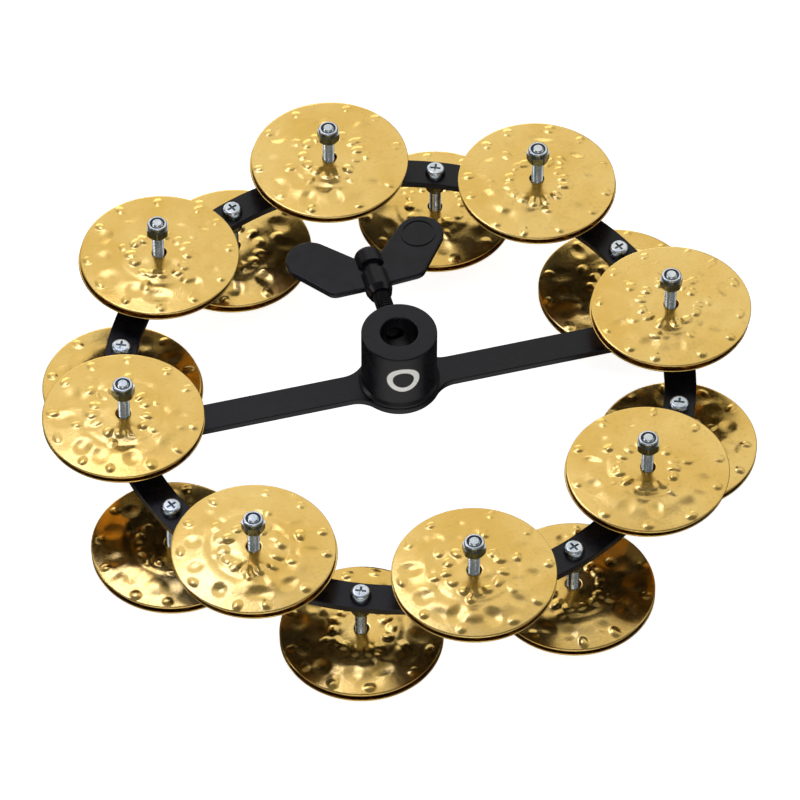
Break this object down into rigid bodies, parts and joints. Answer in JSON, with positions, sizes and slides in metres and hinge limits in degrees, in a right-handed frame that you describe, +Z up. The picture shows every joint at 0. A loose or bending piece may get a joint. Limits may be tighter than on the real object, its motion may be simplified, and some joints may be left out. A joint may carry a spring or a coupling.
{
  "type": "tambourine",
  "caption": "Hi-hat tambourine: flat steel ring and crossbar with a clamp hub and wing screw, and loose pairs of hammered brass jingles on screw posts standing up and down.",
  "frame": {"origin": "on the hub's bore axis, level with the top face of the ring", "axes": "+Z up along the bore, towards the hub's open top; X along the crossbar; +Y towards the wing screw"},
  "size_m": [0.2428, 0.2428, 0.0535],
  "materials": {
    "frame_coat": "satin black powder coat",
    "wing_coat": "black coated casting",
    "zinc_plate": "bright zinc plate",
    "nylon": "dark nylon",
    "jingle_brass": "hammered brass, satin lacquer"
  },
  "bodies": {
    "frame": {"ring_band": "frame_coat", "crossbar": "frame_coat", "clamp_hub": "frame_coat", "upper_post_screws": "zinc_plate", "upper_clamp_nuts": "zinc_plate", "upper_stop_nuts": "zinc_plate", "lower_post_screws": "zinc_plate", "lower_clamp_nuts": "zinc_plate", "lower_stop_nuts": "zinc_plate", "upper_clamp_nut_inserts": "nylon", "upper_stop_nut_inserts": "nylon", "lower_clamp_nut_inserts": "nylon", "lower_stop_nut_inserts": "nylon"},
    "wing_screw": {"wing_grip": "wing_coat", "wing_stud": "wing_coat"},
    "upper_jingle_1_bottom": {"upper_jingle_1_bottom": "jingle_brass"},
    "upper_jingle_1_top": {"upper_jingle_1_top": "jingle_brass"},
    "upper_jingle_2_bottom": {"upper_jingle_2_bottom": "jingle_brass"},
    "upper_jingle_2_top": {"upper_jingle_2_top": "jingle_brass"},
    "upper_jingle_3_bottom": {"upper_jingle_3_bottom": "jingle_brass"},
    "upper_jingle_3_top": {"upper_jingle_3_top": "jingle_brass"},
    "upper_jingle_4_bottom": {"upper_jingle_4_bottom": "jingle_brass"},
    "upper_jingle_4_top": {"upper_jingle_4_top": "jingle_brass"},
    "upper_jingle_5_bottom": {"upper_jingle_5_bottom": "jingle_brass"},
    "upper_jingle_5_top": {"upper_jingle_5_top": "jingle_brass"},
    "upper_jingle_6_bottom": {"upper_jingle_6_bottom": "jingle_brass"},
    "upper_jingle_6_top": {"upper_jingle_6_top": "jingle_brass"},
    "upper_jingle_7_bottom": {"upper_jingle_7_bottom": "jingle_brass"},
    "upper_jingle_7_top": {"upper_jingle_7_top": "jingle_brass"},
    "upper_jingle_8_bottom": {"upper_jingle_8_bottom": "jingle_brass"},
    "upper_jingle_8_top": {"upper_jingle_8_top": "jingle_brass"},
    "lower_jingle_1_bottom": {"lower_jingle_1_bottom": "jingle_brass"},
    "lower_jingle_1_top": {"lower_jingle_1_top": "jingle_brass"},
    "lower_jingle_2_bottom": {"lower_jingle_2_bottom": "jingle_brass"},
    "lower_jingle_2_top": {"lower_jingle_2_top": "jingle_brass"},
    "lower_jingle_3_bottom": {"lower_jingle_3_bottom": "jingle_brass"},
    "lower_jingle_3_top": {"lower_jingle_3_top": "jingle_brass"},
    "lower_jingle_4_bottom": {"lower_jingle_4_bottom": "jingle_brass"},
    "lower_jingle_4_top": {"lower_jingle_4_top": "jingle_brass"},
    "lower_jingle_5_bottom": {"lower_jingle_5_bottom": "jingle_brass"},
    "lower_jingle_5_top": {"lower_jingle_5_top": "jingle_brass"},
    "lower_jingle_6_bottom": {"lower_jingle_6_bottom": "jingle_brass"},
    "lower_jingle_6_top": {"lower_jingle_6_top": "jingle_brass"},
    "lower_jingle_7_bottom": {"lower_jingle_7_bottom": "jingle_brass"},
    "lower_jingle_7_top": {"lower_jingle_7_top": "jingle_brass"},
    "lower_jingle_8_bottom": {"lower_jingle_8_bottom": "jingle_brass"},
    "lower_jingle_8_top": {"lower_jingle_8_top": "jingle_brass"}
  },
  "joints": [
    {"name": "wing_screw_turn", "type": "hinge", "parent": "frame", "child": "wing_screw", "pos_m": [0, 0.03, 0.016], "axis": [0, 1, 0], "continuous": true},
    {"name": "upper_jingle_1_bottom_slide", "type": "slide", "parent": "frame", "child": "upper_jingle_1_bottom", "axis": [0, 0, 1], "range_m": [0, 0.0048]},
    {"name": "upper_jingle_1_top_slide", "type": "slide", "parent": "upper_jingle_1_bottom", "child": "upper_jingle_1_top", "axis": [0, 0, 1], "range_m": [0, 0.0048]},
    {"name": "upper_jingle_2_bottom_slide", "type": "slide", "parent": "frame", "child": "upper_jingle_2_bottom", "axis": [0, 0, 1], "range_m": [0, 0.0048]},
    {"name": "upper_jingle_2_top_slide", "type": "slide", "parent": "upper_jingle_2_bottom", "child": "upper_jingle_2_top", "axis": [0, 0, 1], "range_m": [0, 0.0048]},
    {"name": "upper_jingle_3_bottom_slide", "type": "slide", "parent": "frame", "child": "upper_jingle_3_bottom", "axis": [0, 0, 1], "range_m": [0, 0.0048]},
    {"name": "upper_jingle_3_top_slide", "type": "slide", "parent": "upper_jingle_3_bottom", "child": "upper_jingle_3_top", "axis": [0, 0, 1], "range_m": [0, 0.0048]},
    {"name": "upper_jingle_4_bottom_slide", "type": "slide", "parent": "frame", "child": "upper_jingle_4_bottom", "axis": [0, 0, 1], "range_m": [0, 0.0048]},
    {"name": "upper_jingle_4_top_slide", "type": "slide", "parent": "upper_jingle_4_bottom", "child": "upper_jingle_4_top", "axis": [0, 0, 1], "range_m": [0, 0.0048]},
    {"name": "upper_jingle_5_bottom_slide", "type": "slide", "parent": "frame", "child": "upper_jingle_5_bottom", "axis": [0, 0, 1], "range_m": [0, 0.0048]},
    {"name": "upper_jingle_5_top_slide", "type": "slide", "parent": "upper_jingle_5_bottom", "child": "upper_jingle_5_top", "axis": [0, 0, 1], "range_m": [0, 0.0048]},
    {"name": "upper_jingle_6_bottom_slide", "type": "slide", "parent": "frame", "child": "upper_jingle_6_bottom", "axis": [0, 0, 1], "range_m": [0, 0.0048]},
    {"name": "upper_jingle_6_top_slide", "type": "slide", "parent": "upper_jingle_6_bottom", "child": "upper_jingle_6_top", "axis": [0, 0, 1], "range_m": [0, 0.0048]},
    {"name": "upper_jingle_7_bottom_slide", "type": "slide", "parent": "frame", "child": "upper_jingle_7_bottom", "axis": [0, 0, 1], "range_m": [0, 0.0048]},
    {"name": "upper_jingle_7_top_slide", "type": "slide", "parent": "upper_jingle_7_bottom", "child": "upper_jingle_7_top", "axis": [0, 0, 1], "range_m": [0, 0.0048]},
    {"name": "upper_jingle_8_bottom_slide", "type": "slide", "parent": "frame", "child": "upper_jingle_8_bottom", "axis": [0, 0, 1], "range_m": [0, 0.0048]},
    {"name": "upper_jingle_8_top_slide", "type": "slide", "parent": "upper_jingle_8_bottom", "child": "upper_jingle_8_top", "axis": [0, 0, 1], "range_m": [0, 0.0048]},
    {"name": "lower_jingle_1_bottom_slide", "type": "slide", "parent": "frame", "child": "lower_jingle_1_bottom", "axis": [0, 0, 1], "range_m": [0, 0.0048]},
    {"name": "lower_jingle_1_top_slide", "type": "slide", "parent": "lower_jingle_1_bottom", "child": "lower_jingle_1_top", "axis": [0, 0, 1], "range_m": [0, 0.0048]},
    {"name": "lower_jingle_2_bottom_slide", "type": "slide", "parent": "frame", "child": "lower_jingle_2_bottom", "axis": [0, 0, 1], "range_m": [0, 0.0048]},
    {"name": "lower_jingle_2_top_slide", "type": "slide", "parent": "lower_jingle_2_bottom", "child": "lower_jingle_2_top", "axis": [0, 0, 1], "range_m": [0, 0.0048]},
    {"name": "lower_jingle_3_bottom_slide", "type": "slide", "parent": "frame", "child": "lower_jingle_3_bottom", "axis": [0, 0, 1], "range_m": [0, 0.0048]},
    {"name": "lower_jingle_3_top_slide", "type": "slide", "parent": "lower_jingle_3_bottom", "child": "lower_jingle_3_top", "axis": [0, 0, 1], "range_m": [0, 0.0048]},
    {"name": "lower_jingle_4_bottom_slide", "type": "slide", "parent": "frame", "child": "lower_jingle_4_bottom", "axis": [0, 0, 1], "range_m": [0, 0.0048]},
    {"name": "lower_jingle_4_top_slide", "type": "slide", "parent": "lower_jingle_4_bottom", "child": "lower_jingle_4_top", "axis": [0, 0, 1], "range_m": [0, 0.0048]},
    {"name": "lower_jingle_5_bottom_slide", "type": "slide", "parent": "frame", "child": "lower_jingle_5_bottom", "axis": [0, 0, 1], "range_m": [0, 0.0048]},
    {"name": "lower_jingle_5_top_slide", "type": "slide", "parent": "lower_jingle_5_bottom", "child": "lower_jingle_5_top", "axis": [0, 0, 1], "range_m": [0, 0.0048]},
    {"name": "lower_jingle_6_bottom_slide", "type": "slide", "parent": "frame", "child": "lower_jingle_6_bottom", "axis": [0, 0, 1], "range_m": [0, 0.0048]},
    {"name": "lower_jingle_6_top_slide", "type": "slide", "parent": "lower_jingle_6_bottom", "child": "lower_jingle_6_top", "axis": [0, 0, 1], "range_m": [0, 0.0048]},
    {"name": "lower_jingle_7_bottom_slide", "type": "slide", "parent": "frame", "child": "lower_jingle_7_bottom", "axis": [0, 0, 1], "range_m": [0, 0.0048]},
    {"name": "lower_jingle_7_top_slide", "type": "slide", "parent": "lower_jingle_7_bottom", "child": "lower_jingle_7_top", "axis": [0, 0, 1], "range_m": [0, 0.0048]},
    {"name": "lower_jingle_8_bottom_slide", "type": "slide", "parent": "frame", "child": "lower_jingle_8_bottom", "axis": [0, 0, 1], "range_m": [0, 0.0048]},
    {"name": "lower_jingle_8_top_slide", "type": "slide", "parent": "lower_jingle_8_bottom", "child": "lower_jingle_8_top", "axis": [0, 0, 1], "range_m": [0, 0.0048]}
  ]
}
